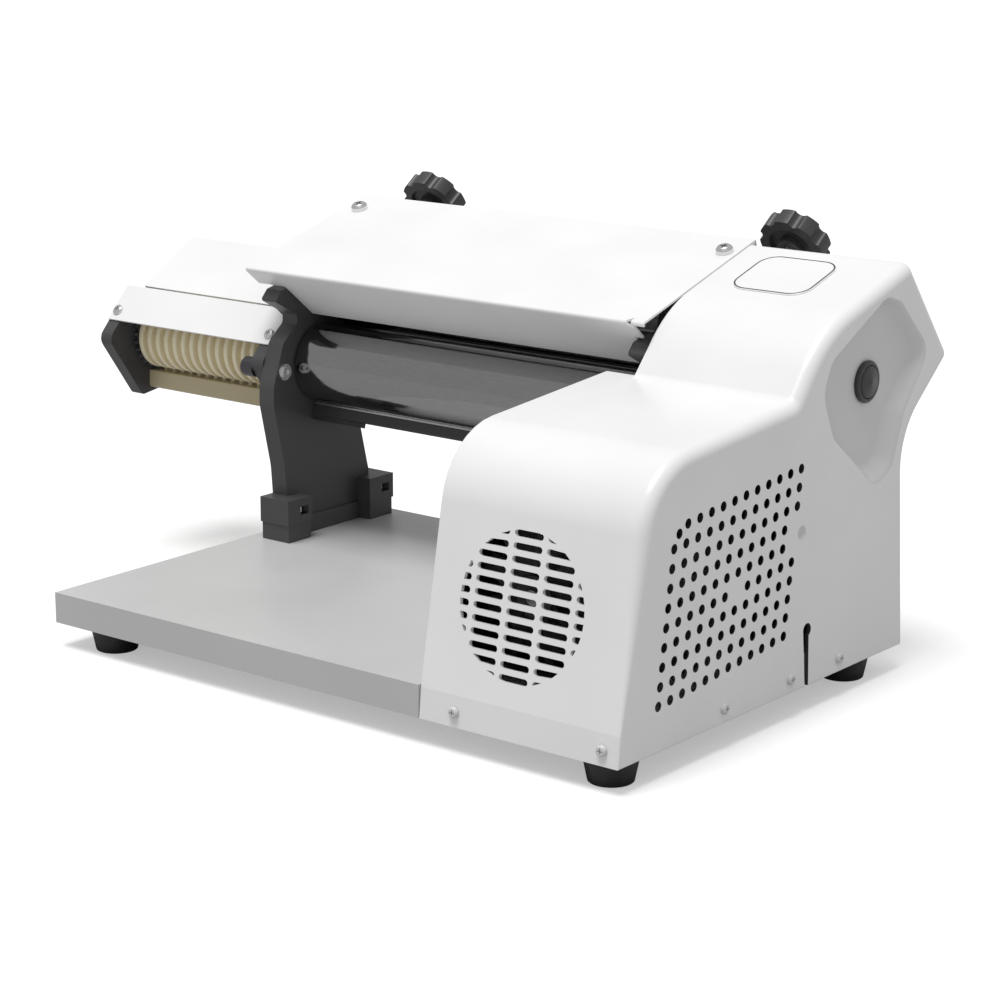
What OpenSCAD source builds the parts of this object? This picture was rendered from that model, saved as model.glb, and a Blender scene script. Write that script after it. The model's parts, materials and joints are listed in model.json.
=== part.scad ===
// Electric pasta sheeter: two polished rollers between cast stands, a gear motor
// in a moulded housing on the right and a strand cutter head on the left.
// X runs along the rollers, +Y to the back, +Z up, with the feet on z = 0.
// Inside the modules x, y and z are counted from the tray's front left lower corner.

/* [Base tray] */
// Length of the tray along the rollers
base_l = 500; // [480:1:520]
// Depth of the tray from front to back
base_d = 333.7; // [325:0.1:345]
// Height of the tray's folded skirt
skirt_h = 22.4; // [18:0.1:28]
// Thickness of the tray's sheet
tray_t = 2; // [1.5:0.1:3]
// Height of the feet
foot_h = 18; // [14:1:24]
// Radius of a foot at the top
foot_r = 18.5; // [14:0.5:20]

/* [Rollers] */
// Radius of both dough rollers
roller_r = 31; // [28:0.5:32]
// Depth of the front roller's axis
roller_y = 255.7; // [250:0.1:260]
// Height of the front roller's axis above the tray's lower edge
roller_z = 154.5; // [150:0.1:160]
// Rise of the line from the front roller to the rear one, in degrees
nip_a = 36.2; // [35:0.1:39]
// Gap between the rollers at the thinnest setting
nip_gap = 1; // [0.8:0.1:1.4]
// Radius of the roller journals
journal_r = 10; // [8:0.5:11]

/* [Stands] */
// Thickness of a stand
stand_t = 15; // [12:0.5:16]
// Left face of the left stand
stand_x = 12.3; // [10:0.1:16]
// Distance between the stands' same faces
stand_pitch = 341.2; // [335:0.1:345]

/* [Housing] */
// Wall thickness of the moulded housing
cover_t = 3; // [2.5:0.1:4]
// Left face of the front box of the housing
box_x = 341.3; // [339:0.1:343]
// Left face of the upper part of the housing
hood_x = 370; // [369.5:0.1:374]
// Radius of the fan grille
grille_r = 48.8; // [45:0.1:52]
// Width of a grille slot
slot_w = 22.9; // [18:0.1:24]
// Height of a grille slot
slot_h = 4.6; // [3.5:0.1:5]
// Diameter of a side vent hole
vent_d = 6.6; // [5:0.1:8]

/* [Top guard] */
// Thickness of the guard sheet
guard_t = 1.5; // [1:0.1:2]
// Length of the guard's sloping lip
lip_l = 60; // [56:0.5:61]

/* [Knobs] */
// Outer radius of an adjusting knob
knob_r = 25.7; // [22:0.1:27]
// Thickness of a knob
knob_t = 14; // [12:0.5:18]
// Number of lobes round a knob
knob_lobes = 8; // [6:1:10]

/* [Cutter head] */
// Left face of the cutter head
cutter_x = -165; // [-180:1:-150]
// Radius of the cutter rings
ring_r = 25.5; // [25:0.1:26]
// Distance from ring to ring
ring_pitch = 9.4; // [9:0.1:9.6]
// Number of rings on a cutter roller
ring_n = 15; // [10:1:15]

/* [Hidden] */
$fn = 48;
eps = 0.02;
run = 0.05;          // radial clearance of a running fit
big = 600;

// ---- outlines with rounded corners ----------------------------------------
function unit(v) = v / norm(v);
function turn_of(a, b, c) = let (u = unit(b - a), v = unit(c - b))
    atan2(u[0] * v[1] - u[1] * v[0], u[0] * v[0] + u[1] * v[1]);
function fillet(a, b, c, r, n) =
    let (t = turn_of(a, b, c), d = r * tan(abs(t) / 2), u = unit(b - a), s = sign(t),
         start = b - d * u, centre = start + s * r * [-u[1], u[0]],
         a0 = atan2(start[1] - centre[1], start[0] - centre[0]))
    [for (i = [0:n]) centre + r * [cos(a0 + t * i / n), sin(a0 + t * i / n)]];
// Each corner is [y, z, radius, optional steps of its arc]
function xy(p) = [p[0], p[1]];
function rounded(p, n = 6) = [for (i = [0:len(p) - 1])
    let (a = xy(p[(i + len(p) - 1) % len(p)]), b = xy(p[i]), c = xy(p[(i + 1) % len(p)]))
    each (p[i][2] > 0 ? fillet(a, b, c, p[i][2], n) : [b])];
function line_cross(p, u, q, v) = p + u * ((q[0] - p[0]) * v[1] - (q[1] - p[1]) * v[0])
    / (u[0] * v[1] - u[1] * v[0]);
// The same outline moved inwards by t; it runs clockwise when seen along +X
function inset(p, t) = [for (i = [0:len(p) - 1])
    let (a = xy(p[(i + len(p) - 1) % len(p)]), b = xy(p[i]), c = xy(p[(i + 1) % len(p)]),
         u = unit(b - a), v = unit(c - b), s = turn_of(a, b, c) < 0 ? -1 : 1,
         q = line_cross(b + t * [u[1], -u[0]], u, b + t * [v[1], -v[0]], v))
    [q[0], q[1], p[i][2] > 0 ? max(p[i][2] + s * t, 0.5) : 0]];

// An outline in y and z becomes a plate from x0 to x1
module plate_x(x0, x1, outline) translate([x0, 0, 0]) rotate([90, 0, 90])
    linear_extrude(x1 - x0) polygon(outline);
module rod_x(x0, x1, y, z, r) translate([x0, y, z]) rotate([0, 90, 0]) cylinder(h = x1 - x0, r = r);
module rod_y(y0, y1, x, z, r) translate([x, y0, z]) rotate([-90, 0, 0]) cylinder(h = y1 - y0, r = r);
module block(a, b) translate(a) cube(b - a);
// Draws along the nip line: local z runs from the front roller towards the knobs
module along_nip(x, t) translate([x, roller_y + t * cos(nip_a), roller_z + t * sin(nip_a)])
    rotate([nip_a - 90, 0, 0]) children();

// ---- places ---------------------------------------------------------------
screw_head = 2.6;
x_low = cutter_x;
x_high = base_l + screw_head;
screw_seat_y = 0.45;
y_low = screw_seat_y - screw_head;
centre_d = 2 * roller_r + nip_gap;
rear_y = roller_y + centre_d * cos(nip_a);
rear_z = roller_z + centre_d * sin(nip_a);
travel = 5.4;
knob_at = centre_d + 118.25;      // middle of a knob along the nip line
knob_y = roller_y + knob_at * cos(nip_a);
y_high = knob_y + knob_t / 2 * cos(nip_a) + knob_r * sin(nip_a);
module place() translate([-(x_low + x_high) / 2, -(y_low + y_high) / 2, foot_h]) children();

foot_x = [37, 477];
foot_y = [24, 294];
stand_xs = [stand_x, stand_x + stand_pitch];
stand_cx = [for (x = stand_xs) x + stand_t / 2];
roller_x0 = stand_x + stand_t + 1.9;
roller_x1 = stand_x + stand_pitch - 1.9;
lean = atan2(28.9, 162);       // lean of the housing's front face
corner_lean = atan2(30.5, 183);
hood_cut = 197.5;              // back of the housing's front box
front_crease = [1.6, 21];      // y and z where the housing's front starts to lean
cover_outline = [[0, 0, 0], [front_crease[0], front_crease[1], 4], [30.5, 183, 56], [191.5, 196, 9],
    [224.8, 238.4, 95], [331, 270.2, 8], [388.5, 198, 7], [330, 150.5, 50], [base_d, 0, 0]];
box_outline = [[0, 0, 0], [front_crease[0], front_crease[1], 4], [30.5, 183, 56], [hood_cut, 196.1, 0],
    [hood_cut, 0, 0]];
// The hollow inside an outline, open at the bottom
function cavity(p) = [for (q = inset(p, cover_t)) q[1] < 10 ? [q[0], -1, 0] : q];
cavity_outline = cavity(cover_outline);
skin = 5.2;                    // the tray steps in by this under the housing's front
tray_plan = [[0, 0, 0], [0, base_d, 0], [hood_x - 0.3, base_d, 0], [hood_x - 0.3, base_d - 3.7, 0],
    [base_l - cover_t - 0.1, base_d - 3.7, 0], [base_l - cover_t - 0.1, skin, 6],
    [box_x - 0.3, skin, 0], [box_x - 0.3, 0, 0]];

// Direction of the guard's plate and of its lip, both in y and z
guard_bend = [200, 231];
guard_dir = unit([137, 41]);
guard_l = 143;
lip_dir = unit([49, -40]);
ear_l = 21;
guard_a = atan2(41, 137);
guard_hole = [[18, 118], [359.4, 118]];
guard_screw_r = 3;

// Tie rods between the stands: y and z
tie_at = [[262, 228], [277, 112]];
clamp_at = [[214, 152.7], [302, 150]];
blocks_y = [[201.5, 228.5], [295.5, 323.5]];
bolt_y = [for (y = blocks_y) y[0] + 18.5];
bolt_x = [20, stand_t - 20];   // from the stand's left face, on the left and the right stand
bolt_r = 2.5;
nut_r = 4.6;
function under_guard(s) = let (d = unit([137, 41]))
    [200 + s * d[0] + guard_t * d[1], 231 + s * d[1] - guard_t * d[0], 3];
stand_outline = [[216, 36, 0], [213, 78, 60], [202, 128, 40], [202.6, 143, 22], [214, 175, 14],
    [229.5, 187, 4], [229.5, 194.5, 3], [206, 207.5, 2], [213, 215, 2], [223.5, 217.4, 2], [240, 219, 5],
    under_guard(48), under_guard(134.5), [359.7, 253.6, 5], [376.9, 231.6, 5],
    [334.6, 188.3, 14], [296, 113, 30], [309, 60, 20], [310, 36, 0]];

recess_outline = [[222, 196, 20], [232, 217, 18], [300, 251, 16], [318, 245, 14],
    [358, 206, 14], [327, 168, 22], [313, 131, 14], [292, 120, 16], [236, 164, 22]];
switch_at = [287.5, 193.5];
recess_x = 492;
button_r = 11.3;
vent_origin = [70.1, 140.8];
vent_along = [12.78, 1.06];
vent_down = [-1.83, -12.18];
cord_at = [210.2, 39.3];
dimple_at = [200.7, 107.7];
front_screw_x = [370.3, 487.2];
side_screw_y = [113.7, 191, 251.2];
screw_z = 10;

motor_x = 414.3;
motor_z = 88;
grille_z = 84.3;
worm_r = 9;
wheel_teeth = 28;
wheel_m = 2;
gear_m = 3;
roller_teeth = 21;
pinion_teeth = 17;
pinion_d = gear_m * (roller_teeth + pinion_teeth) / 2 + 0.1;
shaft_z = motor_z + worm_r + wheel_m * wheel_teeth / 2;
shaft_y = roller_y - sqrt(pow(pinion_d, 2) - pow(roller_z - shaft_z, 2));
gear_x = 378;
gear_w = 12;

cutter_t = 12;
cutter_x0 = cutter_x + cutter_t;
cutter_x1 = stand_x - cutter_t;
cutter_d = 48;
core_r = 20.5;
cutter_rear = [roller_y + cutter_d * cos(nip_a), roller_z + cutter_d * sin(nip_a)];
cutter_gear_m = 2;
cutter_gear_w = 3.4;

// ---- shared shapes ----------------------------------------------------------
module pan_head(r, h) rotate_extrude($fn = 32) polygon(rounded([[0, 0, 0], [r, 0, 0],
    [r, h * 0.6, h * 0.35], [r * 0.7, h, h * 0.3], [0, h, 0]], 4));
module screw(r, h, shank_r, shank_l) difference() {
    union() {
        pan_head(r, h);
        translate([0, 0, -shank_l]) cylinder(h = shank_l + eps, r = shank_r, $fn = 24);
    }
    for (a = [0, 90]) rotate([0, 0, a]) translate([-r * 0.5, -r * 0.09, h * 0.45])
        cube([r, r * 0.18, h]);
}
module cap_screw(r, h, shank_r, shank_l) difference() {
    union() {
        cylinder(h = h, r = r);
        translate([0, 0, -shank_l]) cylinder(h = shank_l + eps, r = shank_r, $fn = 24);
    }
    translate([0, 0, h * 0.4]) cylinder(h = h, r = r * 0.5, $fn = 6);
}

// Involute spur gear standing along +Z; slack is taken off each flank in mm
function inv_deg(a) = tan(a) * 180 / PI - a;
function gear_points(m, z, slack, tall) =
    let (rp = m * z / 2, rb = rp * cos(20), ro = rp + m * tall, rr = rp - 1.2 * m,
         half = function(r) 90 / z - slack / rp * 180 / PI + inv_deg(20)
             - inv_deg(acos(min(1, rb / r))),
         rs = [rr, max(rb, rr + 0.1), (rp + max(rb, rr)) / 2, rp, (rp + ro) / 2, ro])
    [for (i = [0:z - 1]) let (c = 360 * i / z) each concat(
        [for (r = rs) let (t = c - half(max(r, rb))) r * [cos(t), sin(t)]],
        [for (k = [len(rs) - 1:-1:0]) let (t = c + half(max(rs[k], rb))) rs[k] * [cos(t), sin(t)]])];
module gear(m, z, w, bore_r, slack = 0.12, tall = 1) difference() {
    linear_extrude(w) polygon(gear_points(m, z, slack, tall));
    translate([0, 0, -1]) cylinder(h = w + 2, r = bore_r);
}
// A gear on an X axis; phase turns it about the axis, counted from +Y towards +Z
module gear_on_x(x, y, z, m, teeth, w, bore_r, phase, slack = 0.12, tall = 1)
    translate([x, y, z]) rotate([90, 0, 90]) rotate([0, 0, phase])
        gear(m, teeth, w, bore_r, slack, tall);

// ---- base -------------------------------------------------------------------
module tray_solid(g, z0, z1) translate([0, 0, z0]) linear_extrude(z1 - z0)
    polygon(rounded(inset(tray_plan, g), 4));
module base_tray() color("gainsboro") difference() {
    tray_solid(0, 0, skirt_h);
    tray_solid(tray_t, -1, skirt_h - tray_t);
    for (i = [0, 1], y = bolt_y) translate([stand_xs[i] + bolt_x[i], y, 0])
        cylinder(h = 100, r = bolt_r + run, $fn = 24);
    for (x = front_screw_x) rod_y(0, 10, x, screw_z, 2.05);
    for (y = side_screw_y) rod_x(base_l - 10, base_l + 1, y, screw_z, 2.05);
}
module bottom_plate() color("silver") difference() {
    tray_solid(tray_t, 0, 1.5);
    for (x = foot_x, y = foot_y) translate([x, y, -1]) cylinder(h = 4, r = 3.05);
}
module feet() color("#262626") for (x = foot_x, y = foot_y) translate([x, y, -foot_h])
    difference() {
        rotate_extrude() polygon(rounded([[0, 0, 0], [foot_r - 3.7, 0, 1.2],
            [foot_r, foot_h, 0], [0, foot_h, 0]], 3));
        translate([0, 0, -1]) cylinder(h = foot_h + 2, r = 3.05);
        translate([0, 0, -1]) cylinder(h = 9, r = 7);
    }
module foot_screws() color("lightgray") for (x = foot_x, y = foot_y) translate([x, y, 0]) {
    translate([0, 0, 8 - foot_h]) rotate([180, 0, 0]) screw(6, 3, 3, 15);
    translate([0, 0, 1.5]) difference() {
        cylinder(h = 4, r = 5.8, $fn = 6);
        translate([0, 0, -1]) cylinder(h = 6, r = 3);
    }
}

// ---- housing ----------------------------------------------------------------
// A prism that leans with the front face and rounds the upright front corners
module corner_round(x0, x1, r0, r1) rotate([-corner_lean, 0, 0]) translate([0, 0, -100])
    linear_extrude(big) polygon(rounded([[x0, 0, r0], [x0, big, 0], [x1, big, 0], [x1, 0, r1]], 6));
front_gap = 2.5;               // the corner prism starts this far before the bottom band
module cover_shape(t) intersection() {
    union() {
        plate_x(t > 0 ? hood_x - 1 : hood_x, base_l - t,
            rounded(t > 0 ? cavity_outline : cover_outline, 8));
        plate_x(box_x + t, base_l - t, rounded(t > 0 ? cavity(box_outline) : box_outline, 8));
    }
    translate([0, t - front_gap, 0]) corner_round(box_x + t, base_l - t, 2.5 - min(t, 2.4), 9 - t);
}
module grille_holes() translate([motor_x, -2, 0]) rotate([-lean, 0, 0])
    translate([0, -6, grille_z / cos(lean)]) intersection() {
        rotate([-90, 0, 0]) cylinder(h = 14, r = grille_r, $fn = 96);
        for (i = [-2:2], k = [-5.5:5.5]) translate([i * 26.4, 0, k * 8.36]) {
            block([-slot_w / 2 + slot_h / 2, 0, -slot_h / 2],
                [slot_w / 2 - slot_h / 2, 14, slot_h / 2]);
            for (s = [-1, 1]) rod_y(0, 14, s * (slot_w - slot_h) / 2, 0, slot_h / 2, $fn = 24);
        }
    }
// The side vents miss three places, and one corner hole is pulled in
module vent_holes() for (i = [0:11], k = [0:9])
    if (!(i == 6 && k == 5) && !(i == 11 && (k == 3 || k == 4)) && !(i == 0 && k == 0)) {
        p = vent_origin + (i - 1) * vent_along + k * vent_down;
        rod_x(base_l - 10, base_l + 1, p[0], p[1], vent_d / 2, $fn = 24);
    } else if (i == 0 && k == 0) rod_x(base_l - 10, base_l + 1, 60.8, 136.2, vent_d / 2, $fn = 24);
module cover() color("white") difference() {
    cover_shape(0);
    difference() {
        cover_shape(cover_t);
        plate_x(recess_x - cover_t, base_l, rounded(inset(recess_outline, -cover_t), 4));
    }
    plate_x(recess_x, base_l + 1, rounded(recess_outline, 4));
    rod_x(recess_x - 10, recess_x + 1, switch_at[0], switch_at[1], 12.55);
    grille_holes();
    vent_holes();
    rod_x(base_l - 10, base_l + 1, cord_at[0], cord_at[1], 4.75);
    block([base_l - 10, cord_at[0] - 0.6, -5], [base_l + 1, cord_at[0] + 3.4, cord_at[1]]);
    rod_x(base_l - 0.8, base_l + 1, dimple_at[0], dimple_at[1], 4.6);
    block([box_x - 1, skin - 0.1, -5], [box_x + cover_t + 0.1, hood_cut + 1, skirt_h]);
    block([box_x, hood_cut - cover_t - 0.1, -5], [hood_x + 0.05, hood_cut + 1, skirt_h]);
    for (x = front_screw_x) {
        rod_y(-5, 20, x, screw_z, 2.05, $fn = 24);
        rod_y(-5, screw_seat_y, x, screw_z, 3.9);
    }
    for (y = side_screw_y) rod_x(base_l - 10, base_l + 1, y, screw_z, 2.05, $fn = 24);
}
module cover_screws() color("silver") {
    for (x = front_screw_x) translate([x, screw_seat_y, screw_z]) rotate([90, 0, 0])
        screw(3.8, screw_head, 2, 8.5);
    for (y = side_screw_y) translate([base_l, y, screw_z]) rotate([0, 90, 0])
        screw(3.8, screw_head, 2, 8.5);
}
module inner_panel() color("silver") difference() {
    intersection() {
        plate_x(hood_x + 0.2, hood_x + 1.7, rounded(cavity_outline, 8));
        block([hood_x - 1, hood_cut - cover_t, skirt_h], [hood_x + 4, big, big]);
    }
    rod_x(hood_x - 5, hood_x + 5, roller_y, roller_z, 14);
    for (t = [0, travel]) along_nip(0, centre_d + t) rotate([0, 90, 0])
        translate([0, 0, hood_x - 5]) cylinder(h = 10, r = 14);
    along_nip(0, centre_d) block([hood_x - 5, -14, 0], [hood_x + 5, 14, travel]);
}
hood_slope = atan2(cover_outline[5][1] - cover_outline[4][1], cover_outline[5][0] - cover_outline[4][0]);
module nameplate() color("silver") translate([425, cover_outline[4][0], cover_outline[4][1]])
    rotate([hood_slope, 0, 0]) translate([0, 67, 0]) linear_extrude(1.2)
        polygon(rounded([[-31, -27, 14], [31, -27, 14], [31, 27, 14], [-31, 27, 14]], 6));
module switch_bezel() color("#1c1c1c") translate([recess_x, switch_at[0], switch_at[1]])
    rotate([0, 90, 0]) difference() {
        union() {
            rotate_extrude() polygon(rounded([[button_r + 0.1, 0, 0], [14.6, 0, 0], [14.6, 2.2, 1],
                [13, 3.2, 0.6], [button_r + 0.1, 3.2, 0.4]], 4));
            translate([0, 0, -cover_t - 1]) cylinder(h = cover_t + 1 + eps, r = 12.4);
        }
        translate([0, 0, -9]) cylinder(h = 15, r = button_r + 0.1);
    }
module switch_body() color("#333333") translate([recess_x, switch_at[0], switch_at[1]])
    rotate([0, 90, 0]) {
        translate([0, 0, -26]) cylinder(h = 15, r = 12);
        translate([0, 0, -11]) difference() {
            cylinder(h = 7, r = 12);
            translate([0, 0, -1]) cylinder(h = 9, r = button_r + 0.1);
        }
        translate([0, 0, -cover_t - 4]) difference() {
            cylinder(h = 4, r = 15);
            translate([0, 0, -1]) cylinder(h = 6, r = 11.9);
            translate([0, 0, 3]) cylinder(h = 6, r = 12.4);
        }
    }
module switch_button() color("#2b2b2b") translate([recess_x, switch_at[0], switch_at[1]])
    rotate([0, 90, 0]) rotate_extrude() polygon(rounded([[0, -7, 0], [button_r, -7, 0],
        [button_r, 3.8, 2], [0, 5.6, 0]], 5));

// ---- stands -----------------------------------------------------------------
module carriage_slot(x0, x1, g) along_nip(0, centre_d)
    block([x0, -13 - g, -16 - g], [x1, 13 + g, 40]);
module stand_block(x, y, inward) let (x0 = inward > 0 ? x - 0.8 : x - 13.2) difference() {
    block([x0, y[0], skirt_h + 13.6], [x0 + 29, y[1], skirt_h + 33.2]);
    block([inward > 0 ? x0 + 16 : x0 - 1, y[0] + 14, skirt_h + 20],
        [inward > 0 ? x0 + 30 : x0 + 13, y[0] + 23, skirt_h + 26.5]);
}
module stand(x, inward) difference() {
    union() {
        plate_x(x, x + stand_t, rounded(stand_outline));
        for (y = blocks_y) stand_block(x, y, inward);
    }
    rod_x(x - 5, x + stand_t + 5, roller_y, roller_z, 12.02);
    carriage_slot(x - 5, x + stand_t + 5, run);
    along_nip(x + stand_t / 2, centre_d + 30) cylinder(h = 80, r = 5 + run);
    for (p = tie_at) {
        rod_x(x - 5, x + stand_t + 5, p[0], p[1], 3.05);
        rod_x(inward > 0 ? x - 1 : x + stand_t - 8, inward > 0 ? x + 8 : x + stand_t + 1,
            p[0], p[1], 5.2);
    }
    for (p = clamp_at) rod_x(x - 5, x + stand_t + 5, p[0], p[1], 4.05);
    translate([0, guard_bend[0], guard_bend[1]]) rotate([guard_a, 0, 0])
        translate([x < 100 ? guard_hole[0][0] : guard_hole[1][0], guard_hole[0][1], -25])
            cylinder(h = 40, r = guard_screw_r + run);
    for (y = bolt_y) translate([x + (inward > 0 ? bolt_x[0] : bolt_x[1]), y, 0])
        cylinder(h = skirt_h + 28, r = bolt_r + run, $fn = 24);
}
module left_stand() color("#4a4a4a") stand(stand_xs[0], 1);
module right_stand() color("#4a4a4a") stand(stand_xs[1], -1);
module foot_rail(x, inward) color("#444444") let (x0 = inward > 0 ? x : x - 12.4) difference() {
    union() {
        for (y = blocks_y) block([x0, y[0] + 1, skirt_h], [x0 + 27.4, y[1] - 1, skirt_h + 13.6]);
        block([inward > 0 ? x : x - 2, blocks_y[0][1] - 2, skirt_h],
            [inward > 0 ? x + stand_t + 2 : x + stand_t, blocks_y[1][0] + 2, skirt_h + 13.6]);
    }
    for (y = bolt_y) translate([x + (inward > 0 ? bolt_x[0] : bolt_x[1]), y, 0])
        cylinder(h = 100, r = bolt_r + run, $fn = 24);
}
module left_foot_rail() foot_rail(stand_xs[0], 1);
module right_foot_rail() foot_rail(stand_xs[1], -1);
// Bolts up through the tray into nuts in the stands' pockets, and the cutter head's clamp screws
module stand_bolts() color("silver") {
    for (i = [0, 1], y = bolt_y) translate([stand_xs[i] + bolt_x[i], y, skirt_h - tray_t]) {
        rotate([180, 0, 0]) cap_screw(4.4, 3, bolt_r, 1);
        cylinder(h = 29, r = bolt_r, $fn = 24);
        translate([0, 0, tray_t + 21]) cylinder(h = 4, r = nut_r, $fn = 6);
    }
    for (p = clamp_at) translate([stand_x + stand_t, p[0], p[1]]) rotate([0, 90, 0]) {
        difference() {
            cylinder(h = 1.6, r = 6.4);
            translate([0, 0, -1]) cylinder(h = 4, r = 4);
        }
        translate([0, 0, 1.6]) cap_screw(4.5, 2, 4, 42);
    }
}
module tie_rods() color("silver") for (p = tie_at) difference() {
    rod_x(stand_x + stand_t, stand_xs[1], p[0], p[1], 6);
    rod_x(stand_x, stand_x + stand_t + 20, p[0], p[1], 3.02);
    rod_x(stand_xs[1] - 20, stand_xs[1] + 5, p[0], p[1], 3.02);
}
module tie_rod_screws() color("dimgray") for (p = tie_at) {
    translate([stand_x + 8, p[0], p[1]]) rotate([0, -90, 0]) cap_screw(5, 6, 3, 24);
    translate([stand_xs[1] + stand_t - 8, p[0], p[1]]) rotate([0, 90, 0]) cap_screw(5, 6, 3, 24);
}

// ---- rollers ----------------------------------------------------------------
module bush(x, y, z, inward) difference() {
    union() {
        rod_x(x, x + stand_t, y, z, 12);
        rod_x(inward > 0 ? x + stand_t : x - 1.2, inward > 0 ? x + stand_t + 1.2 : x, y, z, 15);
    }
    rod_x(x - 5, x + stand_t + 5, y, z, journal_r + run);
}
module front_bushes() color("goldenrod") for (i = [0, 1])
    bush(stand_xs[i], roller_y, roller_z, 1 - 2 * i);
module roller_drum(y, z) {
    rod_x(roller_x0, roller_x1, y, z, roller_r, $fn = 128);
    rod_x(roller_x1 - 1, gear_x + gear_w + 6, y, z, journal_r);
}
module front_roller() color("lightgray") difference() {
    union() {
        roller_drum(roller_y, roller_z);
        rod_x(stand_x, roller_x0 + 1, roller_y, roller_z, journal_r);
        rod_x(stand_x - 14, stand_x + 1, roller_y, roller_z, 6, $fn = 6);
    }
    rod_x(gear_x + gear_w, gear_x + gear_w + 7, roller_y, roller_z, 3);
}
// The rear roller stays between the carriages' flanges
module rear_roller() color("lightgray") {
    rod_x(roller_x0 + 3, roller_x1 - 3, rear_y, rear_z, roller_r, $fn = 128);
    rod_x(roller_x1 - 4, gear_x + gear_w + 6, rear_y, rear_z, journal_r);
    rod_x(stand_x + 1, roller_x0 + 4, rear_y, rear_z, journal_r);
}
module front_roller_gear() color("#8c8c8c") gear_on_x(gear_x, roller_y, roller_z, gear_m,
    roller_teeth, gear_w, journal_r, nip_a, 0.12);
module rear_roller_gear() color("#8c8c8c") gear_on_x(gear_x, rear_y, rear_z, gear_m,
    roller_teeth, gear_w, journal_r, nip_a + 180 + 180 / roller_teeth, 0.12);
module carriage(x, inward) difference() {
    union() {
        along_nip(0, centre_d) block([x, -13, -16], [x + stand_t, 13, 24]);
        along_nip(0, centre_d) block([inward > 0 ? x + stand_t + 0.2 : x - 3, -17, -15],
            [inward > 0 ? x + stand_t + 3 : x - 0.2, 17, 24]);
        along_nip(0, centre_d) block([inward > 0 ? x + stand_t - 1 : x - 1, -12.9, -15],
            [inward > 0 ? x + stand_t + 1 : x + 1, 12.9, 24]);
    }
    rod_x(x - 5, x + stand_t + 5, rear_y, rear_z, 12.02);
    along_nip(x + stand_t / 2, centre_d + 13.5) cylinder(h = 20, r = 5 + run);
}
module left_carriage() color("#9a9a9a") carriage(stand_xs[0], 1);
module right_carriage() color("#9a9a9a") carriage(stand_xs[1], -1);
module rear_bushes() color("goldenrod") for (x = stand_xs) difference() {
    rod_x(x, x + stand_t, rear_y, rear_z, 12);
    rod_x(x - 5, x + stand_t + 5, rear_y, rear_z, journal_r + run);
}

// ---- roller gap adjustment --------------------------------------------------
// The spindle turns in the stand between two collars and moves the carriage
module spindle(x) color("silver") along_nip(x, centre_d) {
    translate([0, 0, 20.5]) cylinder(h = knob_at - centre_d - 1 - 20.5, r = 5);
    translate([0, 0, 34]) cylinder(h = 5.8, r = 8);
    translate([0, 0, 80.7]) cylinder(h = 5, r = 8);
}
module left_spindle() spindle(stand_cx[0]);
module right_spindle() spindle(stand_cx[1]);
module knob(x) color("#3d3d3d") along_nip(x, knob_at) difference() {
    union() {
        translate([0, 0, -knob_t / 2]) linear_extrude(knob_t) difference() {
            circle(knob_r, $fn = 96);
            for (i = [0:knob_lobes - 1]) rotate((i + 0.5) * 360 / knob_lobes)
                translate([knob_r + 2.2, 0]) circle(5, $fn = 32);
        }
        translate([0, 0, -knob_t / 2 - 3]) cylinder(h = 4, r = 10);
    }
    translate([0, 0, -knob_t / 2 - 4]) cylinder(h = knob_t / 2 + 3, r = 5);
    translate([0, 0, -knob_t / 2 - 1]) difference() {
        cylinder(h = 4, r = 17.5);
        translate([0, 0, -1]) cylinder(h = 6, r = 10);
    }
}
module left_knob() knob(stand_cx[0]);
module right_knob() knob(stand_cx[1]);

// ---- scrapers ---------------------------------------------------------------
module front_scraper() color("silver") plate_x(roller_x0 + 0.2, roller_x1 - 0.2,
    [[246.2, 124.3], [268, 117.4], [267.7, 116.4], [245.9, 123.2]]);
module scraper_bar() color("#3a3a3a") {
    plate_x(roller_x0 - 1.9, roller_x1 + 1.9,
    rounded([[245.9, 123.2, 0], [267.7, 116.4, 0], [265, 108.4, 1.5], [243.6, 115.2, 1.5]], 3));
    for (x = [[roller_x0 - 1.9, 64], [317, roller_x1 + 1.9]]) plate_x(x[0], x[1],
        [[246, 115], [265.2, 109], [264.2, 104.9], [245, 111]]);
}
// The rear blade hangs from the carriages, so it follows the rear roller
scraper_in = [stand_x + stand_t + 3, stand_xs[1] - 3];
module rear_scraper() color("silver") along_nip(0, centre_d) {
    block([scraper_in[0], roller_r + 0.4, -8], [scraper_in[1], roller_r + 2.4, 14]);
    for (x = [scraper_in[0], scraper_in[1] - 1.2]) block([x, 12.5, 2], [x + 1.2, roller_r + 1, 14]);
}

// ---- top guard --------------------------------------------------------------
function guard_point(s, d) = guard_bend + s * guard_dir + d * [-guard_dir[1], guard_dir[0]];
function lip_point(s, d) = guard_bend + s * lip_dir + d * [-lip_dir[1], lip_dir[0]];
back_fold = guard_point(guard_l, 0) + [1.6, -6];
fold_in = guard_t / tan((guard_a + atan2(40, 49)) / 2);
// Section of the folded sheet with a lip of length s
function guard_section(s) = concat(
    [back_fold - [guard_t, 0], back_fold, guard_point(guard_l, 0)],
    fillet(guard_point(guard_l, 0), guard_bend, lip_point(s, 0), 2, 4),
    [lip_point(s, 0), lip_point(s, guard_t), guard_point(fold_in, -guard_t),
        guard_point(guard_l - 0.7, -guard_t)]);
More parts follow.
